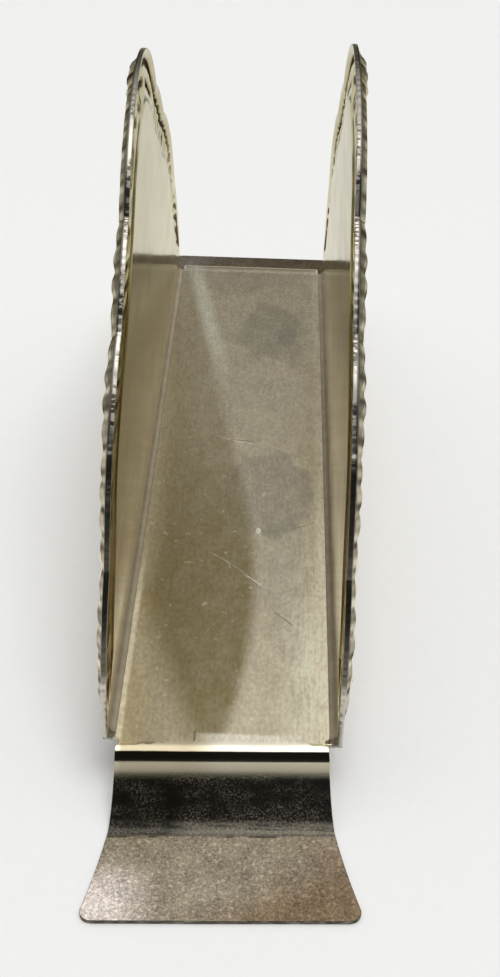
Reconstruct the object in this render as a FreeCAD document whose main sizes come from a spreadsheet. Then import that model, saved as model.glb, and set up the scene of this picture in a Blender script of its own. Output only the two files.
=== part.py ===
"""A table napkin holder pressed from plated sheet metal: one long base strip whose ends are bent
down into flared feet, and two tall side panels with a raised scalloped border. Each panel is rolled
under the strip at its foot, and a solder seam fills the corner between the two sheets.

Millimetres. +Z is up, +Y runs along the slot, the table is at Z = 0 and the origin is at the middle.
"""
import FreeCAD, Part
import os

import Sketcher

doc = FreeCAD.newDocument("napkin_holder")

# --- driving dimensions -------------------------------------------------------------------------
SIZES = {
    "floor_length": 140,      # between the two end bends, and the length of a panel's lower edge
    "floor_width": 31,        # the flat of the floor
    "floor_top": 10.1,        # upper side of the floor above the table
    "metal": 0.8,             # every sheet
    "panel_rise": 73,         # crest of a panel above the floor
    "corner_gap": 0.9,        # inner radius of the roll at a panel's foot, and of the seam
    "lap": 4,                 # how far a panel's flange reaches under the floor
    "relief": 1.0,            # how far the border stands out from a panel's field
    "border": 9,              # width of the raised border at the lower corners
    "skirt": 5,               # plain band of a panel above the floor
    "neck_width": 30.6,       # a foot where it leaves the floor
    "toe_width": 38,          # a foot at its outer edge
    "foot_reach": 22.6,       # from the end bend to a foot's outer edge
    "toe_corner": 1.6,        # corner radius of a foot
    "top_bend": 2.45,         # outer radius of the bend from floor to foot
    "steepest": 69.5,         # slope of a foot just below that bend, in degrees
    "sweep": 16.5,            # hollow radius of a foot's slope
    "crease": 2,              # radius where the slope turns into the flat toe
    "corner_hole": 0.85,      # radius of the relief hole at each corner of the floor
}
sheet = doc.addObject("Spreadsheet::Sheet", "sizes")
for row, (alias, value) in enumerate(SIZES.items(), start=1):
    sheet.set(f"A{row}", alias)
    sheet.set(f"B{row}", str(value))
    sheet.setAlias(f"B{row}", alias)
doc.recompute()

HALF = "sizes.floor_length / 2"
FLOOR_SIDE = "sizes.floor_width / 2"
PANEL_INSIDE = f"({FLOOR_SIDE} + sizes.corner_gap)"
ROLL_CENTRE_Z = "(sizes.floor_top - sizes.metal + sizes.corner_gap)"


# --- sketch and feature helpers -----------------------------------------------------------------
def value_of(expression):
    """The present value of an expression that reads the sheet."""
    return float(sheet.evalExpression(expression))


def new_body(name):
    body = doc.addObject("PartDesign::Body", name)
    body.Label = name
    return body


def new_sketch(body, name, plane, offset="0"):
    """A sketch on one of the body's own origin planes, moved along its normal by an expression."""
    sketch = body.newObject("Sketcher::SketchObject", name)
    support = [f for f in body.Origin.OriginFeatures if f.Role == plane][0]
    sketch.AttachmentSupport = [(support, "")]
    sketch.MapMode = "FlatFace"
    sketch.setExpression("AttachmentOffset.Base.z", offset)
    return sketch


def pin_point(sketch, geometry, end, place):
    """Holds one end of a line or arc at a place given by two expressions."""
    for kind, expression in zip(("DistanceX", "DistanceY"), place):
        index = sketch.addConstraint(
            Sketcher.Constraint(kind, -1, 1, geometry, end, value_of(expression)))
        sketch.setExpression(f"Constraints[{index}]", expression)


def outline(sketch, corners):
    """Draws a closed outline. Each corner is (x, y, bow): two expressions, and how far the edge that
    leaves the corner bows out to its right, or None for a straight edge."""
    count, first = len(corners), sketch.GeometryCount
    spots = [FreeCAD.Vector(value_of(x), value_of(y), 0) for x, y, _ in corners]
    for i, (x, y, bow) in enumerate(corners):
        start, end = spots[i], spots[(i + 1) % count]
        if bow is None:
            edge = sketch.addGeometry(Part.LineSegment(start, end), False)
            pin_point(sketch, edge, 1, (x, y))
            continue
        along = end - start
        right = FreeCAD.Vector(along.y, -along.x, 0).normalize()
        middle = (start + end) * 0.5 + right * value_of(bow)
        arc = Part.Arc(start, middle, end)
        edge = sketch.addGeometry(arc, False)
        # A sketch's arc always runs anticlockwise, so its first end may be this edge's last.
        near_end = 1 if (sketch.getPoint(edge, 1) - start).Length < 1e-6 else 2
        pin_point(sketch, edge, near_end, (x, y))
        chord = f"hypot({x} - ({corners[(i + 1) % count][0]}); {y} - ({corners[(i + 1) % count][1]}))"
        index = sketch.addConstraint(Sketcher.Constraint("Radius", edge, sketch.Geometry[edge].Radius))
        rise = f"abs({bow})"
        sketch.setExpression(f"Constraints[{index}]", f"({chord})^2 / (8 * {rise}) + {rise} / 2")
    for i in range(count):
        after = (i + 1) % count
        joined = []
        for edge in (first + i, first + after):
            ends = [end for end in (1, 2)
                    if (sketch.getPoint(edge, end) - spots[after]).Length < 1e-6]
            joined += [edge, ends[0]]
        sketch.addConstraint(Sketcher.Constraint("Coincident", *joined))


def mirrored(corners):
    """The same corners on the other side of the sketch's vertical axis, in the order that keeps an
    outline running anticlockwise. Each bow stays with its own edge."""
    bows = [None] + [bow for _, _, bow in corners[:-1]]
    return [(f"-({x})", y, bow) for (x, y, _), bow in zip(corners[::-1], bows[::-1])]


def bow_of(radius, turn):
    """The rise of an arc over its chord, from its radius and the angle that it turns."""
    return f"({radius}) * (1 - cos(({turn}) / 2))"


def check(feature, before=None, grows=True):
    """Recomputes, and stops if the feature failed or changed the solid the wrong way."""
    doc.recompute()
    failed = [word for word in feature.State if word in ("Invalid", "Error")]
    if failed or feature.Shape.isNull() or not feature.Shape.isValid():
        raise RuntimeError(f"{feature.Name} failed: {feature.State}")
    if before is not None and (feature.Shape.Volume > before) != grows:
        raise RuntimeError(f"{feature.Name} did not change the solid as it should")
    return feature


def pad(body, sketch, name, length, reverse=False, both_ways=False):
    feature = body.newObject("PartDesign::Pad", name)
    feature.Profile = sketch
    feature.setExpression("Length", length)
    feature.Reversed = reverse
    if both_ways:
        feature.SideType = "Symmetric"
    sketch.Visibility = False
    return check(feature)


def cut_upwards(body, sketch, name):
    """A pocket from the table up through everything above the sketch."""
    before = body.Shape.Volume
    feature = body.newObject("PartDesign::Pocket", name)
    feature.Profile = sketch
    feature.Type = "ThroughAll"
    feature.Reversed = True
    sketch.Visibility = False
    return check(feature, before, grows=False)


def cut_corner_holes(body, sides):
    """The relief holes where a foot's bend meets a panel's roll, on the given sides of the slot."""
    sketch = new_sketch(body, body.Name + "_hole_sketch", "XY_Plane")
    places = [(x, y) for x in sides for y in (-1, 1)]
    for x, y in places:
        centre = (f"{x} * ({FLOOR_SIDE} + 0.2)", f"{y} * ({HALF} - 0.3)")
        spot = FreeCAD.Vector(*map(value_of, centre), 0)
        radius = value_of("sizes.corner_hole")
        hole = sketch.addGeometry(Part.Circle(spot, FreeCAD.Vector(0, 0, 1), radius), False)
        pin_point(sketch, hole, 3, centre)
        index = sketch.addConstraint(Sketcher.Constraint("Radius", hole, radius))
        sketch.setExpression(f"Constraints[{index}]", "sizes.corner_hole")
    cut_upwards(body, sketch, body.Name + "_holes")


# --- base strip: the floor and both feet ---------------------------------------------------------
SLOPE_AT_CREASE = ("(acos((sizes.floor_top - sizes.metal - sizes.top_bend - sizes.crease"
                   " + (sizes.top_bend + sizes.sweep) * cos(sizes.steepest))"
                   " / (sizes.sweep - sizes.crease)) / 1 deg)")


def foot_profile():
    """One end of the strip seen from the side, from the floor's underside out to the toe and back
    along the upper side: a round bend down, a hollow slope, a crease and a flat toe."""
    steep, flatter = "sizes.steepest", SLOPE_AT_CREASE
    bend, sweep, crease, metal = "sizes.top_bend", "sizes.sweep", "sizes.crease", "sizes.metal"
    bend_centre = (HALF, f"(sizes.floor_top - {bend})")
    sweep_centre = (f"({HALF} + ({bend} + {sweep}) * sin({steep}))",
                    f"({bend_centre[1]} + ({bend} + {sweep}) * cos({steep}))")
    crease_centre = (f"({sweep_centre[0]} - ({sweep} - {crease}) * sin({flatter}))",
                     f"({crease} + {metal})")
    toe = f"{HALF} + sizes.foot_reach"

    def on(centre, radius, angle):
        return (f"{centre[0]} + ({radius}) * sin({angle})", f"{centre[1]} + ({radius}) * cos({angle})")

    def arcs(depth):
        """The bend, the slope and the crease on the surface that lies this deep in the sheet."""
        radii = (f"{bend} - {depth}", f"{sweep} + {depth}", f"{crease} + {depth}")
        points = [on(bend_centre, radii[0], "0"), on(bend_centre, radii[0], steep),
                  on(sweep_centre, f"-({radii[1]})", flatter), on(crease_centre, f"-({radii[2]})", "0")]
        bows = [f"-({bow_of(radii[0], steep)})", bow_of(radii[1], f"{steep} - {flatter}"),
                bow_of(radii[2], flatter)]
        return points, bows

    under, under_bows = arcs(metal)
    over, over_bows = arcs("0")
    corners = [(*point, bow) for point, bow in zip(under, under_bows + [None])]
    corners += [(toe, "0", None), (toe, metal, None)]
    back_bows = [f"-({bow})" for bow in over_bows[::-1]] + [None]
    corners += [(*point, bow) for point, bow in zip(over[::-1], back_bows)]
    return corners


def plan_side():
    """The strip's right side seen from above, at its +Y end: floor, neck, flaring foot, toe."""
    neck, toe, corner = "sizes.neck_width / 2", "sizes.toe_width / 2", "sizes.toe_corner"
    end = f"{HALF} + sizes.foot_reach"
    return [
        (FLOOR_SIDE, "0", None),
        (FLOOR_SIDE, f"{HALF} - 0.4", None),
        (neck, f"{HALF} - 0.4", None),
        (neck, f"{HALF} + 1.5", "-0.5"),
        (toe, f"{end} - {corner}", bow_of(corner, "90")),
        (f"{toe} - {corner}", end, None),
    ]


def make_base_strip():
    body = new_body("base_strip")
    profile = new_sketch(body, "strip_profile", "YZ_Plane")
    half = foot_profile()
    outline(profile, half + mirrored(half))
    pad(body, profile, "strip", "sizes.toe_width + 4", both_ways=True)
    plan = new_sketch(body, "strip_plan", "XY_Plane")
    far = plan_side()
    near = [(x, f"-({y})", bow) for x, y, bow in far]
    right = [(x, y, bow) for (x, y, _), (_, _, bow) in zip(near[:0:-1], near[-2::-1])] + far
    outline(plan, right + mirrored(right))
    margin_x, margin_y = "sizes.toe_width", f"{HALF} + 2 * sizes.foot_reach"
    frame = [(margin_x, f"-({margin_y})", None), (margin_x, margin_y, None)]
    outline(plan, frame + mirrored(frame))
    cut_upwards(body, plan, "strip_sides")
    cut_corner_holes(body, (-1, 1))
    return body


# --- side panels ---------------------------------------------------------------------------------
# Where one scallop of the border meets the next, from the skirt to the crest, as shares of half the
# panel's length and of its rise.
SCALLOPS = [(0.985, 0.12), (0.876, 0.33), (0.757, 0.534), (0.558, 0.67), (0.36, 0.816)]
SCALLOP_BOW = "1.2"
LOWEST_SCALLOP_BOW = "0.2"


def arch(margin, base):
    """The panel's scalloped edge from its right foot over the crest to its left foot, moved inwards
    by margin. The last corner has no edge of its own."""
    def at(share_y, share_z):
        return (f"{share_y} * ({HALF} - {margin})",
                f"sizes.floor_top + {share_z} * (sizes.panel_rise - {margin})")
    right = [(f"{HALF} - {margin}", base, LOWEST_SCALLOP_BOW)]
    right += [(*at(*share), SCALLOP_BOW) for share in SCALLOPS[:-1]]
    top_share = SCALLOPS[-1]
    crest_bow = f"{1 - top_share[1]:.3f} * (sizes.panel_rise - {margin})"
    right.append((*at(*top_share), crest_bow))
    return right + mirrored(right)


def backwards(corners):
    """The same edges run the other way. The first corner comes last and has no edge of its own."""
    bows = [f"-({bow})" for _, _, bow in corners[:-1]]
    return [(x, y, bow) for (x, y, _), bow in zip(corners[::-1], bows[::-1] + [None])]


def make_panel(name, side):
    """A side panel. Its inner face stands corner_gap outside the flat of the floor. side is 1 for
    the panel at +X and -1 for the other."""
    body = new_body(name)
    inside = f"{side} * {PANEL_INSIDE}"
    skirt_top = "sizes.floor_top + sizes.skirt"
    border, metal = "sizes.border", "sizes.metal"
    outward = side < 0

    field = new_sketch(body, name + "_field_sketch", "YZ_Plane", inside)
    outline(field, [(f"-({HALF})", ROLL_CENTRE_Z, None), (HALF, ROLL_CENTRE_Z, None),
                    (HALF, skirt_top, None), *arch(border, skirt_top),
                    (f"-({HALF})", skirt_top, None)])
    pad(body, field, name + "_field", metal, reverse=outward)

    wall_top = f"{skirt_top} + {metal}"
    wall = new_sketch(body, name + "_wall_sketch", "YZ_Plane", inside)
    outline(wall, [(HALF, skirt_top, None), (HALF, wall_top, None), *arch(border, wall_top),
                   (f"-({HALF})", wall_top, None), (f"-({HALF})", skirt_top, None),
                   *backwards(arch(f"({border} + {metal})", skirt_top))])
    pad(body, wall, name + "_wall", f"sizes.relief + {metal}", reverse=outward)

    raised = f"{side} * ({PANEL_INSIDE} + sizes.relief)"
    band = new_sketch(body, name + "_band_sketch", "YZ_Plane", raised)
    outline(band, arch("0", skirt_top) + backwards(arch(border, skirt_top)))
    pad(body, band, name + "_band", metal, reverse=outward)

    roll = new_sketch(body, name + "_roll_sketch", "XZ_Plane")
    under, top = f"sizes.floor_top - 2 * {metal}", f"sizes.floor_top - {metal}"
    flange = f"{FLOOR_SIDE} - sizes.lap"
    section = [
        (flange, under, None),
        (FLOOR_SIDE, under, bow_of(f"sizes.corner_gap + {metal}", "90")),
        (f"{PANEL_INSIDE} + {metal}", ROLL_CENTRE_Z, None),
        (PANEL_INSIDE, ROLL_CENTRE_Z, f"-({bow_of('sizes.corner_gap', '90')})"),
        (FLOOR_SIDE, top, None),
        (flange, top, None),
    ]
    outline(roll, section if side > 0 else mirrored(section))
    pad(body, roll, name + "_roll", "sizes.floor_length", both_ways=True)
    cut_corner_holes(body, (side,))
    return body


# --- solder seams --------------------------------------------------------------------------------
def make_seam(name, side):
    """Solder that fills the corner between the floor's edge and a panel's roll, with a hollow face
    that carries the floor smoothly up into the panel. It stops short of the corner holes."""
    body = new_body(name)
    sketch = new_sketch(body, name + "_sketch", "XZ_Plane")
    gap = "sizes.corner_gap"
    section = [
        (FLOOR_SIDE, "sizes.floor_top - sizes.metal", bow_of(gap, "90")),
        (PANEL_INSIDE, ROLL_CENTRE_Z, None),
        (PANEL_INSIDE, f"sizes.floor_top + {gap}", f"-({bow_of(gap, '90')})"),
        (FLOOR_SIDE, "sizes.floor_top", None),
    ]
    outline(sketch, section if side > 0 else mirrored(section))
    pad(body, sketch, name + "_fillet", "sizes.floor_length - 2.8", both_ways=True)
    return body


pieces = [
    make_base_strip(),
    make_panel("left_panel", -1),
    make_panel("right_panel", 1),
    make_seam("left_solder_seam", -1),
    make_seam("right_solder_seam", 1),
]

doc.recompute()
for item in doc.Objects:
    if "Invalid" in item.State or "Error" in item.State:
        raise RuntimeError(f"{item.Name} failed: {item.State}")
os.makedirs("parts", exist_ok=True)
for piece in pieces:
    shape = piece.Shape
    if shape.isNull() or not shape.isValid() or len(shape.Solids) != 1:
        raise RuntimeError(f"{piece.Label} is not one valid solid")
    shape.exportStep(f"parts/{piece.Label}.step")
    box = shape.BoundBox
    print(f"{piece.Label}: {shape.Volume:.0f} mm3, {box.XLength:.1f} x {box.YLength:.1f} x"
          f" {box.ZLength:.1f} mm")
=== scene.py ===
"""Looks of a silver-plated napkin holder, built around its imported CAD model.

Shapes are worked out in millimetres, +Z up, +Y along the napkin slot. Sizes come from the CAD nodes'
boxes, and the few that a box can't give are the named values below.
"""
import math

import bpy
import numpy as np
from mathutils import Matrix, Vector


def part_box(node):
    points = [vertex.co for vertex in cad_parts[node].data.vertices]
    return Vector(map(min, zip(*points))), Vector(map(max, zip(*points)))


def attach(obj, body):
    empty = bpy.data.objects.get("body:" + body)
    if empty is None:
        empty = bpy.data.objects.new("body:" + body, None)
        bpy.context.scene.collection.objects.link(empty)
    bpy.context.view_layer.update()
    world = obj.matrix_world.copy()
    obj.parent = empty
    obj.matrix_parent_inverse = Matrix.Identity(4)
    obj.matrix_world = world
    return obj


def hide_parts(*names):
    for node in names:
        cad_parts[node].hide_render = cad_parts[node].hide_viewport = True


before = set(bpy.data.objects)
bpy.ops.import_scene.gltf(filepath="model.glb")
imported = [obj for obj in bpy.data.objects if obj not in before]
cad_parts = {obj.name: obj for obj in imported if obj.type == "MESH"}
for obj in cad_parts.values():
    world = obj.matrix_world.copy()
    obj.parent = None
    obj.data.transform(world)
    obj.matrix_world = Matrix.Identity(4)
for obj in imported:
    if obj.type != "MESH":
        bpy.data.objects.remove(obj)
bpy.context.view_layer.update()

MM = 0.001


# --- sizes read from the frame --------------------------------------------------------------------
def box_mm(node):
    low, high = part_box(node)
    return np.array(low) / MM, np.array(high) / MM


strip_low, strip_high = box_mm("base_strip")
panel_low, panel_high = box_mm("right_panel")
seam_low, seam_high = box_mm("right_solder_seam")
FLOOR_SIDE, PANEL_INSIDE = seam_low[0], seam_high[0]
CORNER_GAP = PANEL_INSIDE - FLOOR_SIDE
METAL = seam_high[2] - seam_low[2] - CORNER_GAP
FLOOR_TOP = seam_high[2] - CORNER_GAP
HALF_LENGTH = panel_high[1]
RISE = panel_high[2] - FLOOR_TOP
LAP = FLOOR_SIDE - panel_low[0]
TOE_HALF_WIDTH, TOE_END = strip_high[0], strip_high[1]
SEAM_END = seam_high[1]

# --- sizes that the boxes don't hold, in millimetres and degrees ----------------------------------
NECK_HALF_WIDTH = 15.3
TOE_CORNER = 1.6
# Four times how far the sides of a foot are drawn in halfway along its flare.
FLARE_HOLLOW = 2.0
# A foot in section: the radius of its top bend, the steepest slope, and the radii of sweep and crease.
TOP_BEND, STEEPEST, SWEEP, CREASE = 2.45, 69.5, 16.5, 2
# The round holes at the floor's corners, with centres a little past its sides and short of its ends.
HOLE_RADIUS = 0.85
HOLE_X, HOLE_Y = FLOOR_SIDE + 0.2, HALF_LENGTH - 0.3
# Heights where a panel's roll under the floor begins and where it has turned level.
ROLL_START, ROLL_BOTTOM = FLOOR_TOP - METAL + CORNER_GAP, FLOOR_TOP - METAL
# Where one scallop meets the next: shares of half the panel's length and of its rise.
SCALLOPS = ((0.985, 0.12), (0.876, 0.33), (0.757, 0.534), (0.558, 0.67), (0.36, 0.816))
# How far the edge swells out between two joints, and the share of that in the lowest scallop.
SCALLOP_SWELL, LOWEST_SHARE = 3.3, 0.2
# How far the stamped border reaches in from the cut edge, and the spacing of the edge's fine beads.
BORDER, BEAD_SPACING = 8.6, 1.35
# How each panel has been bent over the years, left then right: its crest stands out by the first
# value, its far end by the second value more than its middle, and it is taller by the third.
BENDS = {-1: (-0.4, 0.8, 0.0), 1: (-0.4, -0.3, 1.75)}
# The near foot was bent a little off square.
FOOT_TURN = 2.3


# --- small numeric helpers ------------------------------------------------------------------------
def smooth(low, high, value):
    """0 at low, 1 at high, and a smooth step between. low may be above high."""
    share = np.clip((value - low) / (high - low), 0, 1)
    return share * share * (3 - 2 * share)


def hump(value, centre, width):
    return np.exp(-((value - centre) / width) ** 2)


def ripple(value, seed, *periods):
    """An uneven wave of height 1: one sine for each period, with fixed phases."""
    total = sum(np.sin(2 * math.pi * value / p + seed * (i + 1.7)) for i, p in enumerate(periods))
    return total / len(periods)


def spaced(stops):
    """Values from stop to stop, evenly spaced within each, given as (value, steps to the next)."""
    values = [np.linspace(a, b, n, endpoint=False) for (a, n), (b, _) in zip(stops, stops[1:])]
    return np.concatenate(values + [[stops[-1][0]]])


def unit(vectors):
    return vectors / np.maximum(np.linalg.norm(vectors, axis=-1, keepdims=True), 1e-9)


def running_mean(values, reach):
    """Each column of values averaged over its neighbours on both sides."""
    window = np.ones(2 * reach + 1) / (2 * reach + 1)
    columns = [np.convolve(np.pad(column, reach, "edge"), window, "valid") for column in values.T]
    return np.stack(columns, axis=1)


# --- turning grids into meshes --------------------------------------------------------------------
RIM_TURNS = np.radians([25, 60, 90, 120, 155])


def sheet_piece(name, face, outward, rim_bulge, rim_wear, hollows=(0, 0)):
    """A closed sheet from a grid of points on one face. outward holds each point's offset to the other
    face. The rim is a rounded cut edge, with shear marks rim_wear deep. The mesh's rim attribute is 1
    on it and outer_rim rises across it towards the other face. hollows says how deep in a hollow each
    point of the two faces lies, from 0 to 1."""
    rows, columns = face.shape[:2]
    ring = [(0, c) for c in range(columns)] + [(r, columns - 1) for r in range(1, rows)]
    ring += [(rows - 1, c) for c in range(columns - 2, -1, -1)]
    ring += [(r, 0) for r in range(rows - 2, 0, -1)]
    index = np.arange(rows * columns).reshape(rows, columns)
    far = index + rows * columns
    quads = [(index[:-1, :-1], index[:-1, 1:], index[1:, 1:], index[1:, :-1]),
             (far[:-1, :-1], far[1:, :-1], far[1:, 1:], far[:-1, 1:])]
    faces = [np.stack([corner.ravel() for corner in quad], axis=1) for quad in quads]

    inner = [(min(max(r, 1), rows - 2), min(max(c, 1), columns - 2)) for r, c in ring]
    edge = np.array([face[p] for p in ring])
    depth = np.array([outward[p] for p in ring])
    away = unit(edge - np.array([face[p] for p in inner]))
    travel = np.concatenate([[0], np.cumsum(np.linalg.norm(np.diff(edge, axis=0), axis=1))])
    beads = math.pi * travel / BEAD_SPACING + 0.8 * ripple(travel, 2.0, 5.3, 8.9)
    beads = np.abs(np.sin(beads)) - 0.6
    marks = beads * smooth(-0.25, 0.35, ripple(travel, 5.0, 17.7, 29.1))
    start, count = 2 * rows * columns, len(ring)
    loops = []
    for turn in RIM_TURNS:
        bulge = rim_bulge * math.sin(turn) ** 0.6 + rim_wear * marks * math.sin(turn)
        loops.append(edge + depth * (1 - math.cos(turn)) / 2 + away * np.reshape(bulge, (-1, 1)))
    chain = [np.array([index[p] for p in ring])]
    chain += [start + i * count + np.arange(count) for i in range(len(loops))]
    chain.append(np.array([far[p] for p in ring]))
    for here, there in zip(chain, chain[1:]):
        faces.append(np.stack([here, there, np.roll(there, -1), np.roll(here, -1)], axis=1))
    points = np.concatenate([face.reshape(-1, 3), (face + outward).reshape(-1, 3), *loops])
    piece = mesh_piece(name, points, np.concatenate(faces))
    rim, outer_rim, hollow = np.zeros((3, len(points)))
    rim[start:] = 1
    outer_rim[start:] = np.repeat((1 - np.cos(RIM_TURNS)) / 2, count)
    for i, depths in enumerate(hollows):
        hollow[i * rows * columns:(i + 1) * rows * columns] = np.ravel(depths)
    for word, values in (("rim", rim), ("outer_rim", outer_rim), ("hollow", hollow)):
        piece.data.attributes.new(word, "FLOAT", "POINT").data.foreach_set("value", values)
    return piece


def mesh_piece(name, points_mm, faces):
    """A smooth-shaded mesh object from points in millimetres, with its normals made to face out."""
    mesh = bpy.data.meshes.new(name)
    mesh.from_pydata((points_mm * MM).tolist(), [], faces.tolist())
    corners = points_mm[faces]
    diagonals = np.cross(corners[:, 2] - corners[:, 0], corners[:, 3] - corners[:, 1])
    if np.sum(corners.mean(axis=1) * diagonals) < 0:
        mesh.flip_normals()
    mesh.shade_smooth()
    piece = bpy.data.objects.new(name, mesh)
    bpy.context.scene.collection.objects.link(piece)
    return piece


# --- base strip -----------------------------------------------------------------------------------
def foot_path():
    """The upper surface from the middle of the floor to the toe: arrays y, z and slope in radians."""
    steep = math.radians(STEEPEST)
    flatter = math.acos((FLOOR_TOP - METAL - TOP_BEND - CREASE
                         + (TOP_BEND + SWEEP) * math.cos(steep)) / (SWEEP - CREASE))
    bend = (HALF_LENGTH, FLOOR_TOP - TOP_BEND)
    sweep = (bend[0] + (TOP_BEND + SWEEP) * math.sin(steep),
             bend[1] + (TOP_BEND + SWEEP) * math.cos(steep))
    crease = (sweep[0] - (SWEEP - CREASE) * math.sin(flatter), METAL + CREASE)
    floor_y = spaced([(0, 46), (HALF_LENGTH - 2.0, 20), (HALF_LENGTH, 0)])[:-1]
    parts = [(floor_y, np.full_like(floor_y, FLOOR_TOP), np.zeros_like(floor_y))]
    for centre, radius, first, last, steps in (
            (bend, TOP_BEND, 0, steep, 24), (sweep, -SWEEP, steep, flatter, 34),
            (crease, -CREASE, flatter, 0, 10)):
        slope = np.linspace(first, last, steps, endpoint=False)
        parts.append((centre[0] + radius * np.sin(slope), centre[1] + radius * np.cos(slope), slope))
    toe_y = spaced([(crease[0], 28), (TOE_END - TOE_CORNER, 14), (TOE_END - 0.12, 1), (TOE_END, 0)])
    parts.append((toe_y, np.full_like(toe_y, METAL), np.zeros_like(toe_y)))
    return [np.concatenate(column) for column in zip(*parts)]


def strip_half_width(y):
    """Half the strip's width at a distance y from its middle: floor, corner hole, neck, foot, toe."""
    y = abs(y)
    width = FLOOR_SIDE if y < HOLE_Y else NECK_HALF_WIDTH
    if abs(y - HOLE_Y) < HOLE_RADIUS:
        return min(width, HOLE_X - math.sqrt(HOLE_RADIUS ** 2 - (y - HOLE_Y) ** 2))
    flare_start, flare_end = HALF_LENGTH + 1.5, TOE_END - TOE_CORNER
    if y > flare_start:
        share = min((y - flare_start) / (flare_end - flare_start), 1)
        width += (TOE_HALF_WIDTH - NECK_HALF_WIDTH) * share - FLARE_HOLLOW * share * (1 - share)
    if y > flare_end:
        width -= TOE_CORNER - math.sqrt(max(TOE_CORNER ** 2 - (y - flare_end) ** 2, 0))
    return width


def make_base_strip():
    y, z, slope = foot_path()
    y, z = np.concatenate([-y[:0:-1], y]), np.concatenate([z[:0:-1], z])
    slope = np.concatenate([-slope[:0:-1], slope])
    across = spaced([(-1, 5), (-0.96, 90), (0.96, 5), (1, 0)])
    width = np.array([strip_half_width(v) for v in y])
    x = width[:, None] * across[None, :]
    normal = np.stack([np.zeros_like(slope), np.sin(slope), np.cos(slope)], axis=1)
    normal = np.repeat(normal[:, None, :], len(across), axis=1)
    y_grid = np.repeat(y[:, None], len(across), axis=1)
    top = np.stack([x, y_grid, np.repeat(z[:, None], len(across), axis=1)], axis=2)
    # Old hand-beaten unevenness: broad on the floor, short and beaded along the end bends, and
    # rougher down the slopes. The toes lie flat on the table.
    off_bend = np.abs(np.abs(y) - HALF_LENGTH - 0.6)[:, None]
    on_foot = smooth(HALF_LENGTH, HALF_LENGTH + 3, np.abs(y))[:, None]
    off_toe = smooth(TOE_END - 12.5, TOE_END - 15, np.abs(y))[:, None]
    wave = 0.02 * ripple(x + y_grid * 0.35, 1.0, 23.0, 11.0) * (1 - on_foot)
    wave += 0.012 * ripple(x, 2.0, 1.9, 2.7, 4.3) * hump(off_bend, 0, 1.2)
    wave += 0.06 * ripple(x - 0.6 * y_grid, 4.0, 47.0, 29.0) * on_foot * off_toe
    top = top + normal * wave[:, :, None]
    before_bend = top[:, :, 1] + HALF_LENGTH
    turned = math.radians(FOOT_TURN) * smooth(3.0, 0.0, before_bend)
    top[:, :, :2] += np.stack([-turned * before_bend, turned * top[:, :, 0]], axis=2)
    return sheet_piece("base_strip_sheet", top, -normal * METAL, rim_bulge=0.05, rim_wear=0.03)


# --- side panels ----------------------------------------------------------------------------------
def arch_line(columns):
    """The panel's scalloped edge from its foot at +Y over the crest to its foot at -Y: points (y, z),
    and for each its share across its own scallop, from the upper joint to the lower, the scallop's
    length, and the distance from the crest."""
    joints = [(HALF_LENGTH, FLOOR_TOP)] + [(a * HALF_LENGTH, FLOOR_TOP + b * RISE) for a, b in SCALLOPS]
    joints = np.array(joints)
    top_y, top_rise = joints[-1][0], FLOOR_TOP + RISE - joints[-1][1]
    crest_radius = (top_y ** 2 + top_rise ** 2) / (2 * top_rise)
    crest_half_turn = math.asin(top_y / crest_radius)
    lengths = np.linalg.norm(np.diff(joints, axis=0), axis=1)
    crest_half = crest_radius * crest_half_turn
    total = lengths.sum() + crest_half
    along = np.linspace(0, total, columns // 2 + 1)
    ends = np.concatenate([[0], np.cumsum(lengths)])
    points, shares, sizes = [], [], []
    for distance in along:
        if distance >= ends[-1]:
            turn = (total - distance) / crest_radius
            points.append((crest_radius * math.sin(turn),
                           FLOOR_TOP + RISE - crest_radius * (1 - math.cos(turn))))
            shares.append(0.5 * (total - distance) / crest_half)
            sizes.append(2 * crest_half)
            continue
        i = max(int(np.searchsorted(ends, distance, side="right")) - 1, 0)
        share = 1 - (distance - ends[i]) / lengths[i]
        chord = joints[i + 1] - joints[i]
        outward = np.array([chord[1], -chord[0]]) / lengths[i]
        # The edge springs out below the upper joint and runs in gently to the lower one.
        swell = SCALLOP_SWELL * share ** 0.75 * (1 - share) ** 1.15 * (LOWEST_SHARE if i == 0 else 1)
        points.append(joints[i] + chord * (1 - share) + outward * swell)
        shares.append(share)
        sizes.append(lengths[i])
    half = np.array(points)
    mirror = half[-2::-1] * np.array([-1, 1])
    both = [np.concatenate([v, v[-2::-1]]) for v in (np.array(shares), np.array(sizes), total - along)]
    return np.concatenate([half, mirror]), *both


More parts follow.
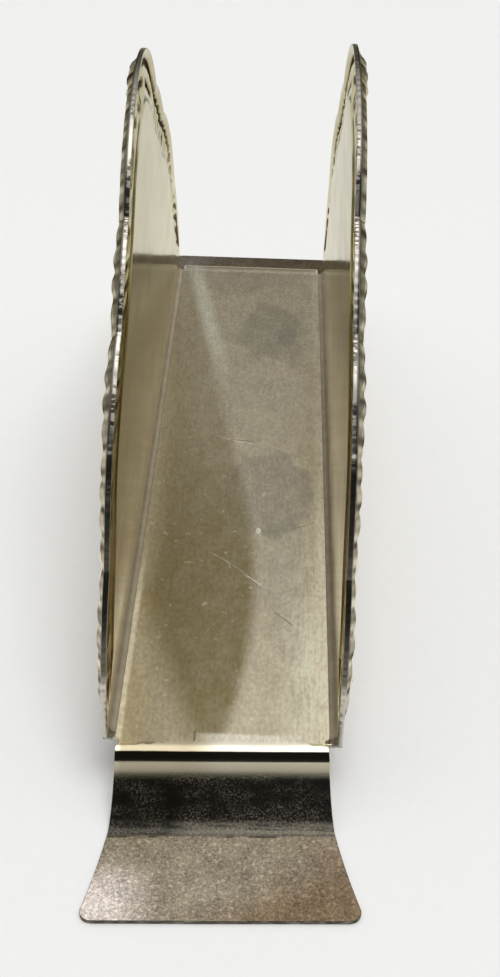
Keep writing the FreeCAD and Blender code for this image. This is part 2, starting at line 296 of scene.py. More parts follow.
def relief_height(depth, share, length, from_crest, height):
    """How far the border stands out from the panel's plane, at a depth in from the cut edge, which
    lies in that plane itself: a low band with a bead behind the edge, a leaf of slanting flutes in
    each scallop, a scroll at each joint, and at the crest an oval shell between two long leaves."""
    in_crest = length > 40
    off_joint = np.minimum(share, 1 - share) * length
    full = 0.35 + 0.65 * smooth(26, 42, height)
    band = 0.28 * smooth(0.8, 2.2, depth) * smooth(8.3, 7.7, depth)
    bead = 0.62 * full * hump(depth, 1.9, 0.9) * (0.7 + 0.3 * smooth(0, 3, off_joint))
    long_leaf = smooth(8.5, 11.0, from_crest) * smooth(26.0, 20.0, from_crest) * in_crest
    leaf = 0.7 * long_leaf * hump(depth, 4.8, 1.0)
    vein = 0.4 * smooth(8.0, 5.0, from_crest) * in_crest * hump(depth, 4.9, 0.6)
    oval = np.hypot(from_crest / 6.8, (depth - 4.4) / 3.4)
    fan = np.arctan2(from_crest, 9.5 - depth)
    shell = in_crest * smooth(1.12, 0.72, oval) * (0.42 + 0.08 * np.cos(17 * fan))
    shell *= smooth(0.3, 1.4, depth)
    crest_calm = 1 - 0.9 * in_crest
    arch = np.sin(math.pi * np.clip(share, 0, 1))
    petal = 0.35 * arch ** 0.7 * smooth(0.8, 3.0, depth) * smooth(7.8, 4.5, depth) * crest_calm
    slant = depth * 0.62 + share * length * 0.5
    flutes = 0.22 * np.cos(2 * math.pi * slant / 2.1) * arch * smooth(0.9, 2.4, depth)
    flutes *= smooth(7.6, 5.0, depth) * crest_calm
    swirl_centre = np.hypot(off_joint - 1.2, depth - 4.4)
    scroll = 0.55 * hump(swirl_centre, 0, 1.6) * (1 + 0.3 * np.cos(2.9 * swirl_centre))
    scroll *= smooth(0.3, 1.6, depth)
    return band + bead + leaf + vein + shell + petal + flutes + scroll


def panel_roll(foot_y):
    """The roll under the floor and the flange that laps under the strip, below a panel's foot line at
    these places along the slot. Its ends are cut back round the corner holes."""
    turn = np.radians(np.linspace(0, 90, 9)[1:])
    lap = LAP * np.array([0.25, 0.5, 0.75, 1.0])
    x = np.concatenate([FLOOR_SIDE + CORNER_GAP * np.cos(turn), FLOOR_SIDE - lap])
    z = np.concatenate([ROLL_START - CORNER_GAP * np.sin(turn), np.full(len(lap), ROLL_BOTTOM)])
    bite = np.sqrt(np.clip(HOLE_RADIUS ** 2 - (x - HOLE_X) ** 2, 0, None))
    past_hole = np.where(x < HOLE_X, HOLE_Y - HOLE_RADIUS, HALF_LENGTH)
    ends = np.where(bite > 0, HOLE_Y - bite, past_hole)
    y = foot_y[None, :] * (ends / HALF_LENGTH)[:, None]
    x, z = (np.repeat(column[:, None], len(foot_y), 1) for column in (x, z))
    return np.stack([x, y, z], axis=2)


def hollow_polish_and_shade(pressed, height, depths, side):
    """How deep in a hollow each point of a panel lies, on its inner and its outer face, for painting it
    dark with old polish and painted shade: inside only high up, and outside in patches behind the cut
    edge as well."""
    ridge = pressed - running_mean(pressed, 5)
    across = pressed - running_mean(pressed.T, 5).T
    kept = smooth(25, 55, height)
    dull = np.zeros_like(pressed)
    patchy = 0.55 + 0.6 * ripple(np.arange(pressed.shape[1]), 6.0 + side, 10.3, 6.1, 17.0)
    dull[: len(depths)] = smooth(3.6, 2.0, depths)[:, None] * np.clip(patchy, 0, 1)
    return (np.clip(ridge / 0.14 + across / 0.2, 0, 1) * kept,
            np.maximum(np.clip(-ridge / 0.16 - across / 0.15, 0, 1), dull))


def make_panel(name, side):
    line, share, length, from_crest = arch_line(columns=736)
    count = len(line)
    along = unit(running_mean(unit(np.gradient(line, axis=0)), 14))
    inward = np.stack([-along[:, 1], along[:, 0]], axis=1)
    ease = smooth(0, 1, np.minimum(np.arange(count), np.arange(count)[::-1]) / 24)[:, None]
    smooth_line = line * (1 - ease) + running_mean(line, 12) * ease

    depths = spaced([(0, 2), (0.5, 18), (5.0, 13), (BORDER, 2), (BORDER + 1, 0)])
    field_rows = 11
    # Close to a lower corner the border has no room, so its depth shrinks with the height there.
    room = np.clip((line[:, 1] - ROLL_START) * 0.9, 0, BORDER + 1) / (BORDER + 1)
    rows, heights = [], []
    for depth in depths:
        blend = smooth(0, BORDER, depth)
        start = line * (1 - blend) + smooth_line * blend
        row = start + inward * (depth * room)[:, None]
        row[:, 1] = np.maximum(row[:, 1], ROLL_START)
        rows.append(row)
        heights.append(relief_height(depth, share, length, from_crest, row[:, 1] - FLOOR_TOP))
    last = rows[-1]
    foot_y = np.minimum.accumulate(last[:, 0])
    foot = np.stack([foot_y, np.full(count, ROLL_START)], axis=1)
    for step in range(1, field_rows + 1):
        portion = step / field_rows
        rows.append(last * (1 - portion) + foot * portion)
        heights.append(np.zeros(count))
    y, z = np.moveaxis(np.array(rows), 2, 0)
    above = np.clip((z - FLOOR_TOP) / RISE, 0, 1)
    height = np.array(heights) * smooth(4.0, 9.0, z - FLOOR_TOP)
    lean, twist, taller = BENDS[side]
    bent = smooth(0, 1, above) * (lean + twist * y / HALF_LENGTH)
    bent += 0.05 * ripple(y + 0.5 * z, 3.0 + side, 61.0, 37.0) * smooth(0, 0.2, above)
    flat = np.stack([PANEL_INSIDE + height + bent, y, z + taller * above ** 2], axis=2)

    rolled = panel_roll(foot_y)
    face = np.concatenate([flat, rolled])
    normal = unit(np.cross(np.gradient(face, axis=0), np.gradient(face, axis=1)))
    if np.mean(normal[: len(flat), :, 0]) < 0:
        normal = -normal
    outward = normal * METAL
    face[:, :, 0] *= side
    outward[:, :, 0] *= side
    pressed = np.concatenate([height, np.zeros((len(rolled), count))])
    hollows = hollow_polish_and_shade(pressed, face[:, :, 2], depths, side)
    return sheet_piece(name, face, outward, rim_bulge=0.05, rim_wear=0.08, hollows=hollows)


# --- solder seams ---------------------------------------------------------------------------------
def make_seam(name, side):
    """The fillet's closed section swept along the slot, with the slight unevenness of solder."""
    turn = np.radians(np.linspace(0, 90, 8))
    lift = CORNER_GAP * (1 - np.cos(turn))
    x = FLOOR_SIDE + CORNER_GAP * np.sin(np.concatenate([turn, turn[::-1]]))
    stations = np.linspace(-SEAM_END, SEAM_END, 180)
    count, half = len(x), len(turn)
    points = []
    for y in stations:
        swell = 1 + 0.05 * ripple(y, 2.0 + side, 13.0, 7.1)
        z = np.concatenate([FLOOR_TOP - METAL + lift, FLOOR_TOP + lift[::-1] * swell])
        points.append(np.stack([side * x, np.full(count, y), z], axis=1))
    ring = np.arange(count)
    faces = []
    for i in range(len(stations) - 1):
        here, there = i * count + ring, (i + 1) * count + ring
        faces.append(np.stack([here, there, np.roll(there, -1), np.roll(here, -1)], axis=1))
    for base in (0, (len(stations) - 1) * count):
        cap = [(base + k, base + k + 1, base + count - 2 - k, base + count - 1 - k)
               for k in range(half - 1)]
        faces.append(np.array(cap if base else [quad[::-1] for quad in cap]))
    return mesh_piece(name, np.concatenate(points), np.concatenate(faces))


# --- materials ------------------------------------------------------------------------------------
class Shading:
    """A new material and short calls that add nodes to it. A value is a number, or another node's
    output. Places are in millimetres of the object's own frame."""

    def __init__(self, name):
        self.material = bpy.data.materials.new(name)
        self.material.use_nodes = True
        self.tree = self.material.node_tree
        self.shader = self.tree.nodes["Principled BSDF"]
        frame_place = self.tree.nodes.new("ShaderNodeTexCoord").outputs["Object"]
        self.place = self.vector("MULTIPLY", frame_place, (1 / MM,) * 3)
        split = self.tree.nodes.new("ShaderNodeSeparateXYZ")
        self.put(self.place, split.inputs[0])
        self.x, self.y, self.z = split.outputs

    def put(self, value, socket):
        if isinstance(value, bpy.types.NodeSocket):
            self.tree.links.new(value, socket)
        else:
            socket.default_value = value

    def node(self, kind, inputs, **settings):
        node = self.tree.nodes.new("ShaderNode" + kind)
        for key, value in settings.items():
            setattr(node, key, value)
        for key, value in inputs.items():
            self.put(value, node.inputs[key])
        return node

    def vector(self, operation, a, b):
        return self.node("VectorMath", {0: a, 1: b}, operation=operation).outputs[0]

    def math(self, operation, a, b=0.0):
        return self.node("Math", {0: a, 1: b}, operation=operation).outputs[0]

    def chain(self, operation, values):
        """The operation taken over all the values in order."""
        total = values[0]
        for value in values[1:]:
            total = self.math(operation, total, value)
        return total

    def add(self, *values):
        return self.chain("ADD", values)

    def times(self, *values):
        return self.chain("MULTIPLY", values)

    def highest(self, *values):
        return self.chain("MAXIMUM", values)

    def attribute(self, name):
        return self.node("Attribute", {}, attribute_name=name).outputs["Fac"]

    def step(self, value, low, high):
        """0 at low, 1 at high, smooth between. low may be above high."""
        upwards = low < high
        node = self.node("MapRange", {0: value, 1: min(low, high), 2: max(low, high),
                                      3: 0.0 if upwards else 1.0, 4: 1.0 if upwards else 0.0},
                         interpolation_type="SMOOTHSTEP")
        return node.outputs[0]

    def between(self, value, low_outside, low_inside, high_inside, high_outside):
        """1 where the value is between the two inside limits, fading to 0 at the outside ones."""
        return self.times(self.step(value, low_outside, low_inside),
                          self.step(value, high_outside, high_inside))

    def noise(self, size, detail=2.0, stretch=(1, 1, 1), seed=0.0):
        """Uneven values about 0.5, with features about size mm across, drawn out by stretch."""
        place = self.vector("MULTIPLY", self.place, tuple(1 / (size * s) for s in stretch))
        place = self.vector("ADD", place, (seed, seed * 1.7, seed * 0.6))
        return self.node("TexNoise", {"Vector": place, "Scale": 1.0, "Detail": detail}).outputs[0]

    def swing(self, noise, size):
        """The swing of a noise value about its middle, scaled by size."""
        return self.times(self.add(noise, -0.5), size)

    def spot(self, centre, radii, edge, wobble=0.0):
        """1 inside an ellipse lying in the XY plane, 0 outside, with an edge this soft. wobble is a
        value added to the distance from its centre."""
        away = self.vector("SUBTRACT", self.place, (*centre, 0))
        away = self.vector("MULTIPLY", away, (1 / radii[0], 1 / radii[1], 0))
        distance = self.node("VectorMath", {0: away}, operation="LENGTH").outputs["Value"]
        return self.step(self.add(distance, wobble), 1 + edge, 1 - edge)

    def mix(self, factor, a, b):
        a, b = ((*c, 1) if isinstance(c, tuple) else c for c in (a, b))
        return self.node("MixRGB", {0: factor, 1: a, 2: b}).outputs[0]

    def coated(self, colour, *coats):
        """The colour under coats laid on in order, each given as (how far it covers, its colour)."""
        for cover, coat in coats:
            colour = self.mix(cover, colour, coat)
        return colour

    def scaled(self, colour, factor):
        """The colour times a value."""
        grey = self.node("CombineXYZ", {0: factor, 1: factor, 2: factor}).outputs[0]
        return self.node("MixRGB", {0: 1.0, 1: colour, 2: grey}, blend_type="MULTIPLY").outputs[0]

    def scratch(self, start, end, width, bow=0.0):
        """1 on a thin line on the floor from start to end, bowed to its left by bow mm."""
        length = math.dist(start, end)
        along = ((end[0] - start[0]) / length, (end[1] - start[1]) / length, 0)
        across = (-along[1], along[0], 0)
        from_start = self.vector("SUBTRACT", self.place, (*start, 0))
        run, off = (self.node("VectorMath", {0: from_start, 1: way}, operation="DOT_PRODUCT").outputs["Value"]
                    for way in (along, across))
        share = self.math("DIVIDE", run, length)
        rise = self.times(share, self.math("SUBTRACT", 1.0, share), 4 * bow)
        gap = self.math("ABSOLUTE", self.math("SUBTRACT", off, rise))
        ends = self.times(self.step(share, 0.0, 0.15), self.step(share, 1.0, 0.8))
        return self.times(self.step(gap, width, width * 0.2), ends)


PLATE = (0.63, 0.595, 0.445)
FLOOR_PLATE = (0.66, 0.58, 0.42)
# Pale plate: a painted highlight on the floor's near right, and also the far streak and the flecks.
PALE_PLATE = (0.93, 0.87, 0.69)
EDGE_HIGHLIGHT = (0.97, 0.90, 0.73)
CUT_EDGE = (0.96, 0.92, 0.82)
SCRATCHED = (0.85, 0.80, 0.68)
GLINT = (0.9, 0.86, 0.74)
OLIVE = (0.42, 0.35, 0.215)
# Olive of the painted reflection on the floor.
OLIVE_REFLECTION = (0.30, 0.24, 0.125)
WATER_MARK = (0.42, 0.385, 0.30)
# Soot black: dirt in scratches, and painted dark reflection and shade on the foot and the cut edges.
SOOT_AND_SHADE = (0.045, 0.038, 0.03)
CREASE_SHADE = (0.026, 0.024, 0.02)
OLD_POLISH_AND_SHADE = (0.085, 0.065, 0.045)
GREY_SPECKLE = (0.28, 0.25, 0.195)
CREAM_REFLECTION = (0.40, 0.36, 0.26)
TOE_GREY, TOE_BROWN = (0.41, 0.35, 0.26), (0.28, 0.20, 0.125)
TOE_HIGHLIGHT, FAR_TOE = (0.90, 0.79, 0.71), (0.16, 0.13, 0.095)


def rim_tone(shade, colour, roughness):
    """Cut edges: worn and finely beaded, black along the steep lower sides of the panels and on their
    outer corners, partly old polish and partly a painted dark reflection, and darkened at the crests
    and all the feet. Returns the new colour and roughness, and how black each place is."""
    rim, outer = shade.attribute("rim"), shade.attribute("outer_rim")
    speckle = shade.noise(0.5, 1.0, stretch=(3, 1, 1), seed=3.0)
    broad = shade.noise(6.0, 2.0, seed=15.0)
    patches = shade.step(broad, 0.44, 0.56)
    uneven_z = shade.add(shade.z, shade.swing(broad, 45.0))
    above_feet = shade.step(shade.z, 18.0, 22.0)
    # Black low down: a painted dark reflection as well as old polish.
    steep_part = shade.times(shade.step(uneven_z, 56.0, 46.0), above_feet,
                             shade.add(1.0, shade.times(speckle, -0.22)))
    beads = shade.times(above_feet, patches, shade.step(speckle, 0.58, 0.45), 0.85)
    outline = shade.times(above_feet, shade.step(outer, 0.5, 0.8), 0.85)
    crest = shade.times(shade.step(shade.z, 77.0, 81.5), 0.65)
    panel_feet = shade.times(shade.step(shade.z, 22.0, 18.0), 0.4)
    strip_feet = shade.times(shade.step(shade.z, 8.0, 6.0), shade.add(0.5, shade.times(speckle, 0.8)))
    black = shade.highest(steep_part, beads, outline, crest, panel_feet, strip_feet)
    black = shade.times(rim, shade.math("MINIMUM", black, 0.95))
    colour = shade.coated(colour, (shade.times(rim, 0.85), CUT_EDGE), (black, SOOT_AND_SHADE))
    roughness = shade.add(roughness, shade.times(rim, 0.18), shade.times(black, -0.12))
    return colour, roughness, black


def plate_surface(shade, colour, roughness, height, metallic=1.0, edge_tint=(0.84, 0.80, 0.66, 1)):
    """Plated metal. edge_tint is the colour that it takes at a glancing view."""
    shader = shade.shader
    shade.put(metallic, shader.inputs["Metallic"])
    shade.put(colour, shader.inputs["Base Color"])
    shade.put(roughness, shader.inputs["Roughness"])
    shade.put(edge_tint, shader.inputs["Specular Tint"])
    bump = shade.node("Bump", {"Height": height, "Distance": MM, "Strength": 1.0})
    shade.put(bump.outputs[0], shader.inputs["Normal"])
    return shade.material


# Zones of the strip by the distance past the end of the floor: each fades in over the first two
# distances and out over the last two. The two thin lines along the top bend are painted, a dark
# reflection and then a cream one.
STRIP_ZONES = {"bend": (-0.6, 0.1, 1.8, 2.6), "dark_bend_reflection": (1.15, 1.3, 2.15, 2.3),
               "cream_reflection": (1.9, 2.4, 2.9, 3.5), "slope": (2.8, 3.4, 8.6, 9.4),
               "crease": (6.8, 7.5, 8.8, 9.4), "wiped": (7.0, 7.5, 8.9, 9.2),
               "crease_shade_line": (9.0, 9.15, 9.3, 9.5)}


def floor_colour(shade, uneven, ragged, near_right_highlight):
    """The floor's colour, and how far the olive mark, a painted reflection, covers each place."""
    # The painted reflection starts at the far left corner; its two edges curl together at the near end.
    nearer = shade.times(shade.y, -1.0)
    past_turn, past_tip = (shade.highest(shade.add(nearer, -start), 0.0) for start in (15.0, 40.0))
    right_edge = shade.add(-1.15, shade.times(nearer, 0.19), shade.times(past_turn, past_turn, -0.0041))
    left_edge = shade.add(-16.0, shade.times(past_tip, 0.33))
    inside_right = shade.add(right_edge, shade.times(shade.x, -1.0), shade.times(uneven, 1.5), ragged)
    inside_left = shade.add(shade.x, shade.times(left_edge, -1.0), shade.times(uneven, 4.0))
    reflection_mark = shade.times(shade.step(inside_right, -1.3, 1.5), shade.step(inside_left, -1.5, 5.0))
    reflection_depth = shade.add(0.40, shade.times(shade.step(shade.y, 30.0, -45.0), 0.55), ragged)
    # Painted highlights along the edges: the right side, the near right corner, the near part of the
    # left side, the right half of the near end, and the far end.
    edge_highlights = shade.add(
        shade.times(shade.step(shade.x, 13.2, 14.7), shade.add(0.45, near_right_highlight)),
        shade.times(shade.step(shade.y, -35.0, -66.0), shade.step(shade.x, 9.0, 14.5)),
        shade.times(shade.step(shade.x, -14.3, -14.9), shade.step(shade.y, -25.0, -45.0)),
        shade.times(shade.step(shade.y, -67.9, -68.6), shade.step(shade.x, -6.0, 0.0)),
        shade.times(shade.between(shade.y, 67.9, 68.5, 68.9, 69.6), 0.7))
    left_side = shade.times(shade.step(shade.y, 20.0, -50.0), shade.step(shade.x, 4.0, -8.0), 0.45)
    off_streak = shade.math("ABSOLUTE", shade.add(inside_right, 1.7))
    far_streak = shade.times(shade.step(off_streak, 2.8, 0.3), shade.step(shade.y, 15.0, 48.0))
    # Water marks: centre, radii, softness, wobble and strength of each.
    marks = (((5.0, 42.0), (7.5, 10.5), 0.22, shade.add(uneven, ragged), 1.0),
             ((8.5, 41.0), (2.2, 4.5), 0.3, ragged, 0.7),
             ((5.6, -12.5), (8.0, 11.8), 0.10, shade.times(ragged, 0.6), 1.0),
             ((8.0, -33.0), (4.0, 13.0), 0.5, ragged, 0.5),
             ((0.0, 65.0), (12.0, 5.0), 0.5, shade.times(ragged, 0.8), 0.5))
    water_marks = shade.add(*(shade.times(shade.spot(*mark), strength) for *mark, strength in marks))
    flecks = shade.step(shade.noise(1.0, 0.0, seed=14.0), 0.77, 0.84)
    colour = shade.coated(FLOOR_PLATE, (left_side, OLIVE), (shade.times(near_right_highlight, 0.95), PALE_PLATE),
                          (shade.times(far_streak, 0.9), PALE_PLATE),
                          (shade.times(water_marks, 0.55), WATER_MARK),
                          (shade.times(reflection_mark, reflection_depth), OLIVE_REFLECTION),
                          (shade.times(edge_highlights, 0.8), EDGE_HIGHLIGHT), (shade.times(flecks, 0.28), PALE_PLATE))
    return colour, reflection_mark


def toe_colour(shade, past_floor, broad, ragged):
    """The toes' colour: grey on the left and brown towards the outer right, with a painted highlight on
    the left corner. The far toe is dark."""
    outward = shade.times(shade.add(past_floor, -16.0), 1.5)
    brown = shade.step(shade.add(shade.x, shade.swing(broad, 26.0), outward), 0.0, 18.0)
    # The pale left corner is a painted highlight.
    corner_highlight = shade.times(shade.step(shade.add(shade.x, shade.times(ragged, 6.0)), -7.0, -15.0),
                              shade.step(past_floor, 12.5, 18.0))
    far_half = shade.step(shade.y, 0.0, 1.0)
    return shade.coated(TOE_GREY, (brown, TOE_BROWN), (corner_highlight, TOE_HIGHLIGHT),
                        (shade.times(far_half, 0.75), FAR_TOE))


def strip_silver():
    """The floor and feet: brushed lengthwise, with a long olive mark painted as a reflection and round
    water marks on the floor, polished over the end bends, painted dark on the slopes as a dark
    reflection and speckled there, and grainy on the toes."""
    shade = Shading("strip_silver")
    broad = shade.noise(14, 2.0, seed=1.0)
    clouds = shade.noise(3.0, 5.0, stretch=(1, 1.6, 1), seed=13.0)
    fine = shade.noise(0.5, 3.0, stretch=(1, 1.6, 1), seed=2.0)
    brushed = shade.noise(0.35, 2.0, stretch=(1, 16, 1), seed=4.0)
    mottle = shade.noise(2.6, 4.0, stretch=(1.8, 1, 1), seed=7.0)
    grit = shade.noise(0.28, 6.0, seed=8.0)
    specks = shade.step(shade.noise(0.6, 3.0, seed=18.0), 0.50, 0.72)
    streaks = shade.noise(0.45, 3.0, stretch=(14, 1, 1), seed=16.0)
    uneven, ragged = shade.swing(broad, 0.5), shade.swing(clouds, 0.9)

    # How far each place is past the end of the floor, square to the near foot where that is turned.
    turned = shade.times(shade.step(shade.y, 3.0 - HALF_LENGTH, -HALF_LENGTH), math.radians(FOOT_TURN))
    past_floor = shade.add(shade.math("ABSOLUTE", shade.y), shade.times(turned, shade.x), -HALF_LENGTH)
    zone = {word: shade.between(past_floor, *limits) for word, limits in STRIP_ZONES.items()}
    floor, toe = shade.step(past_floor, 0.1, -0.6), shade.step(past_floor, 8.6, 9.4)
    slope = zone["slope"]

    # The floor's near right: a painted highlight of pale plate, where the brushing also shows more.
    near_right_highlight = shade.times(shade.step(shade.add(shade.y, shade.times(ragged, 10.0)), -5.0, -55.0),
                             shade.step(shade.add(shade.x, shade.times(ragged, 4.0)), 5.5, 13.5))
    colour, reflection_mark = floor_colour(shade, uneven, ragged, near_right_highlight)
    # The slopes: painted dark as a dark reflection, with grey speckles, thicker to the right and
    # towards the crease, where a longer pale patch has been wiped.
    thick = shade.add(mottle, shade.times(shade.step(shade.x, -18.0, 18.0), 0.10),
                      shade.times(shade.step(past_floor, 4.0, 9.0), 0.12))
    speckle = shade.times(shade.step(thick, 0.34, 0.78), shade.step(grit, 0.38, 0.72))
    wiped = shade.times(zone["wiped"], shade.step(streaks, 0.34, 0.56),
                        shade.step(shade.add(shade.x, shade.times(ragged, 3.0)), -8.0, -4.0))
    grey = shade.math("MINIMUM", shade.add(shade.times(speckle, 0.8), shade.times(wiped, 0.45)), 1.0)
    crease_shade_line = shade.times(zone["crease_shade_line"], shade.step(shade.noise(3.5, 2.0, seed=17.0), 0.42, 0.55))
    # Scratches on the floor, by start, end, width and bow: bright ones, then ones that hold dirt.
    pale_lines = shade.add(shade.scratch((-4.9, 4.8), (3.7, 2.1), 0.16, -0.5),
                           shade.scratch((-4.9, -28.3), (6.3, -39.2), 0.16, 0.9),
                           shade.scratch((1.5, -34.0), (6.0, -38.0), 0.25, 0.3))
    dark_lines = shade.add(shade.scratch((-3.0, 3.3), (3.0, 3.0), 0.2, 0.3),
                           shade.scratch((14.0, -19.5), (9.5, -22.0), 0.15, 0.3),
                           shade.scratch((7.0, -42.5), (10.5, -46.0), 0.15),
                           shade.scratch((-4.1, -67.6), (-4.1, -69.9), 0.25))
    # Painted light over the base colours: a dark reflection on the top bend's line and the slopes, shade in
    # the crease and along its line, and a cream reflection along the top bend.
    colour = shade.coated(colour, (toe, toe_colour(shade, past_floor, broad, ragged)),
                          (shade.times(shade.highest(zone["dark_bend_reflection"], slope), 0.94), SOOT_AND_SHADE),
                          (shade.times(zone["crease"], 0.96), CREASE_SHADE),
                          (shade.times(slope, grey), GREY_SPECKLE), (shade.times(zone["cream_reflection"], 0.8), CREAM_REFLECTION),
                          (shade.times(crease_shade_line, 0.8), SOOT_AND_SHADE), (shade.times(pale_lines, 0.5), SCRATCHED),
                          (shade.times(dark_lines, 0.45), SOOT_AND_SHADE),
                          (shade.spot((4.0, -22.8), (0.45, 0.8), 0.3), GLINT))
    # Fine grain lightens and darkens the floor and, more strongly, the toes.
    floor_grain = shade.add(shade.swing(fine, 0.75), shade.swing(clouds, 0.35),
                            shade.swing(brushed, shade.add(0.2, shade.times(near_right_highlight, 0.4))))
    toe_grain = shade.add(shade.times(grit, 1.8), clouds, shade.times(specks, 0.55), -1.57)
    light = shade.add(1.0, shade.times(shade.highest(floor_grain, -1.0), floor), shade.times(toe_grain, toe))
    colour = shade.scaled(colour, light)

    roughness = shade.add(0.20, shade.times(brushed, floor, 0.06), shade.times(reflection_mark, floor, 0.05),
                          shade.times(zone["bend"], -0.12), shade.times(slope, -0.06),
                          shade.times(slope, grey, 0.3), shade.times(zone["crease"], 0.12),
                          shade.times(toe, 0.14))
    colour, roughness, _ = rim_tone(shade, colour, roughness)
    height = shade.add(shade.times(brushed, floor, 0.002), shade.times(fine, floor, 0.003),
                       shade.times(grit, toe, 0.015), shade.times(mottle, slope, 0.02),
                       shade.times(shade.add(pale_lines, dark_lines), -0.02))
    dirt = shade.highest(shade.times(slope, grey), zone["crease"])
    return plate_surface(shade, colour, roughness, height, shade.add(1.0, shade.times(dirt, -0.6)))


def panel_silver():
    """The panels: bright plate with soft upright bands, stained in patches, paler towards the floor as
    painted light, and dark in the hollows of the border with old polish and painted shade."""
    shade = Shading("panel_silver")
    bands = shade.noise(9, 1.0, stretch=(1, 1, 12), seed=5.0)
    fine = shade.noise(0.5, 2.0, stretch=(1, 2, 1), seed=6.0)
    mottle = shade.noise(5.0, 3.0, stretch=(1, 2.5, 1), seed=9.0)
    # Paler towards the floor: painted light that brightens what the lower panels reflect.
    low = shade.step(shade.z, FLOOR_TOP + 50, FLOOR_TOP + 14)
    stain = shade.times(shade.step(mottle, 0.3, 0.75), 0.3)
    hollow = shade.attribute("hollow")
    colour = shade.coated(PLATE, (shade.times(low, 0.9), (0.97, 0.90, 0.72)), (stain, (0.60, 0.53, 0.38)))
    colour = shade.scaled(colour, shade.add(1.0, shade.swing(bands, 0.25), shade.swing(fine, 0.3)))
    # Dark in the hollows: old polish, and painted shade in the grooves.
    colour = shade.mix(shade.times(hollow, 0.85), colour, OLD_POLISH_AND_SHADE)
    roughness = shade.add(0.10, shade.times(bands, 0.05), shade.times(stain, 0.2), shade.times(hollow, 0.2))
    colour, roughness, black = rim_tone(shade, colour, roughness)
    near_floor = shade.step(shade.add(shade.z, shade.times(shade.y, 0.35)), 48.0, 18.0)
    edge_tint = shade.mix(near_floor, (0.75, 0.72, 0.58), (1.0, 0.97, 0.88))
    # The glancing tint darkens in the hollows and black edges too, with the painted shade.
    edge_tint = shade.mix(shade.highest(shade.times(hollow, 0.85), black), edge_tint, (0.10, 0.08, 0.06))
    return plate_surface(shade, colour, roughness, shade.times(fine, 0.0025), edge_tint=edge_tint)


def solder_silver():
    """Soft solder under the same plating: tarnished, satin and slightly lumpy."""
    shade = Shading("solder_silver")
    lumps = shade.noise(2.2, 3.0, seed=11.0)
    colour = shade.mix(shade.step(lumps, 0.35, 0.65), (0.42, 0.37, 0.27), (0.36, 0.31, 0.23))
    roughness = shade.add(0.46, shade.times(lumps, 0.15))
    return plate_surface(shade, colour, roughness, shade.times(lumps, 0.03), metallic=0.15)


def table_paper():
    shade = Shading("table_paper")
    grain = shade.noise(1.5, 3.0, seed=12.0)
    shade.put(shade.mix(grain, (0.82, 0.82, 0.81), (0.85, 0.85, 0.84)), shade.shader.inputs["Base Color"])
    shade.shader.inputs["Roughness"].default_value = 0.7
    shade.shader.inputs["Specular IOR Level"].default_value = 0.1
    return shade.material


# --- the holder -----------------------------------------------------------------------------------
def add(piece, material, node):
    piece.data.materials.append(material)
    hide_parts(node)
    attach(piece, "root")


panel_material, solder_material = panel_silver(), solder_silver()
add(make_base_strip(), strip_silver(), "base_strip")
for side, word in ((-1, "left"), (1, "right")):
    add(make_panel(f"{word}_panel_sheet", side), panel_material, f"{word}_panel")
    add(make_seam(f"{word}_seam", side), solder_material, f"{word}_solder_seam")


# --- camera, table and light ----------------------------------------------------------------------
def make_camera():
    """Looks down into the near end of the slot, turned and tilted a little as a hand holds it."""
    place = Vector((4.6, -188.7, 151.6)) * MM
    pitch, yaw, roll = (math.radians(a) for a in (38.55, 0.77, 1.53))
    data = bpy.data.cameras.new("camera")
    data.sensor_fit = "VERTICAL"
    data.sensor_height = 36
    data.lens = 46.5
    camera = bpy.data.objects.new("camera", data)
    bpy.context.scene.collection.objects.link(camera)
    turn = (Matrix.Rotation(yaw, 4, "Z") @ Matrix.Rotation(math.pi / 2 - pitch, 4, "X")
            @ Matrix.Rotation(roll, 4, "Z"))
    camera.matrix_world = Matrix.Translation(place) @ turn
    bpy.context.scene.camera = camera


def make_table():
    reach = 15.0
    mesh = bpy.data.meshes.new("table")
    mesh.from_pydata([(-reach, -reach, 0), (reach, -reach, 0), (reach, reach, 0), (-reach, reach, 0)],
                     [], [(0, 1, 2, 3)])
    table = bpy.data.objects.new("table", mesh)
    bpy.context.scene.collection.objects.link(table)
    mesh.materials.append(table_paper())


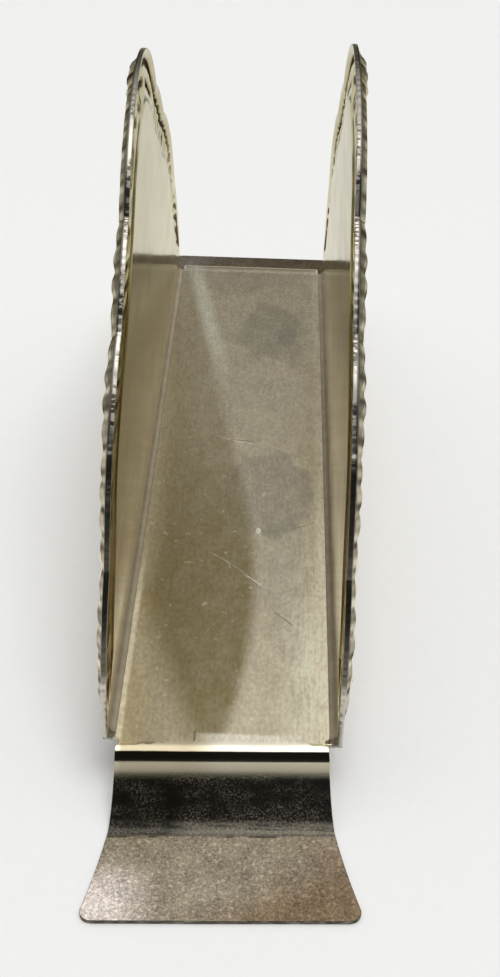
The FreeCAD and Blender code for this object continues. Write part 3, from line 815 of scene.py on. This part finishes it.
def make_room_light():
    """A soft studio: bright overhead, falling off to a dim far side, with a dark screen on the near
    side from the table to high up. What the camera sees past the table stays pale."""
    world = bpy.data.worlds.new("room")
    bpy.context.scene.world = world
    world.use_nodes = True
    tree = world.node_tree
    toward = tree.nodes.new("ShaderNodeTexCoord").outputs["Generated"]
    split = tree.nodes.new("ShaderNodeSeparateXYZ")
    tree.links.new(toward, split.inputs[0])
    _, toward_far, upward = split.outputs

    def ramp(*stops):
        """Brightness against the sine of the height above the table, up to 2, as (sine, value)."""
        node = tree.nodes.new("ShaderNodeValToRGB")
        elements = node.color_ramp.elements
        while len(elements) < len(stops):
            elements.new(0.5)
        for element, (position, value) in zip(elements, stops):
            element.position = position
            element.color = (value / 2, value / 2, value / 2, 1)
        tree.links.new(upward, node.inputs[0])
        return node.outputs[0]

    def blend(factor, a, b):
        node = tree.nodes.new("ShaderNodeMixRGB")
        for value, socket in zip((factor, a, b), node.inputs):
            if isinstance(value, bpy.types.NodeSocket):
                tree.links.new(value, socket)
            else:
                socket.default_value = value
        return node.outputs[0]

    far_side = ramp((0.0, 0.35), (0.42, 0.28), (0.52, 0.38), (0.60, 0.47),
                    (0.68, 0.60), (0.76, 0.80), (0.87, 0.95), (0.98, 1.6))
    near_side = ramp((0.0, 0.08), (0.93, 0.08), (0.95, 1.1), (0.985, 1.9))
    away = tree.nodes.new("ShaderNodeMapRange")
    away.interpolation_type = "SMOOTHSTEP"
    for key, value in ((1, -0.42), (2, -0.25), (3, 0.0), (4, 1.0)):
        away.inputs[key].default_value = value
    tree.links.new(toward_far, away.inputs[0])
    room = blend(away.outputs[0], near_side, far_side)
    seen = tree.nodes.new("ShaderNodeLightPath").outputs["Is Camera Ray"]
    room = blend(seen, room, (0.46, 0.46, 0.455, 1))
    background = tree.nodes["Background"]
    tree.links.new(room, background.inputs["Color"])
    background.inputs["Strength"].default_value = 2.0


def make_ceiling_light():
    """A broad soft light, a little towards the near side of straight up."""
    light = bpy.data.lights.new("ceiling_light", "SUN")
    light.angle = math.radians(30)
    light.energy = 1.5
    lamp = bpy.data.objects.new("ceiling_light", light)
    lamp.rotation_euler = Vector((0.15, -0.13, 1.25)).to_track_quat("Z", "Y").to_euler()
    lamp.visible_glossy = False
    bpy.context.scene.collection.objects.link(lamp)


make_camera()
make_table()
make_room_light()
make_ceiling_light()
bpy.context.scene.view_settings.view_transform = "Standard"
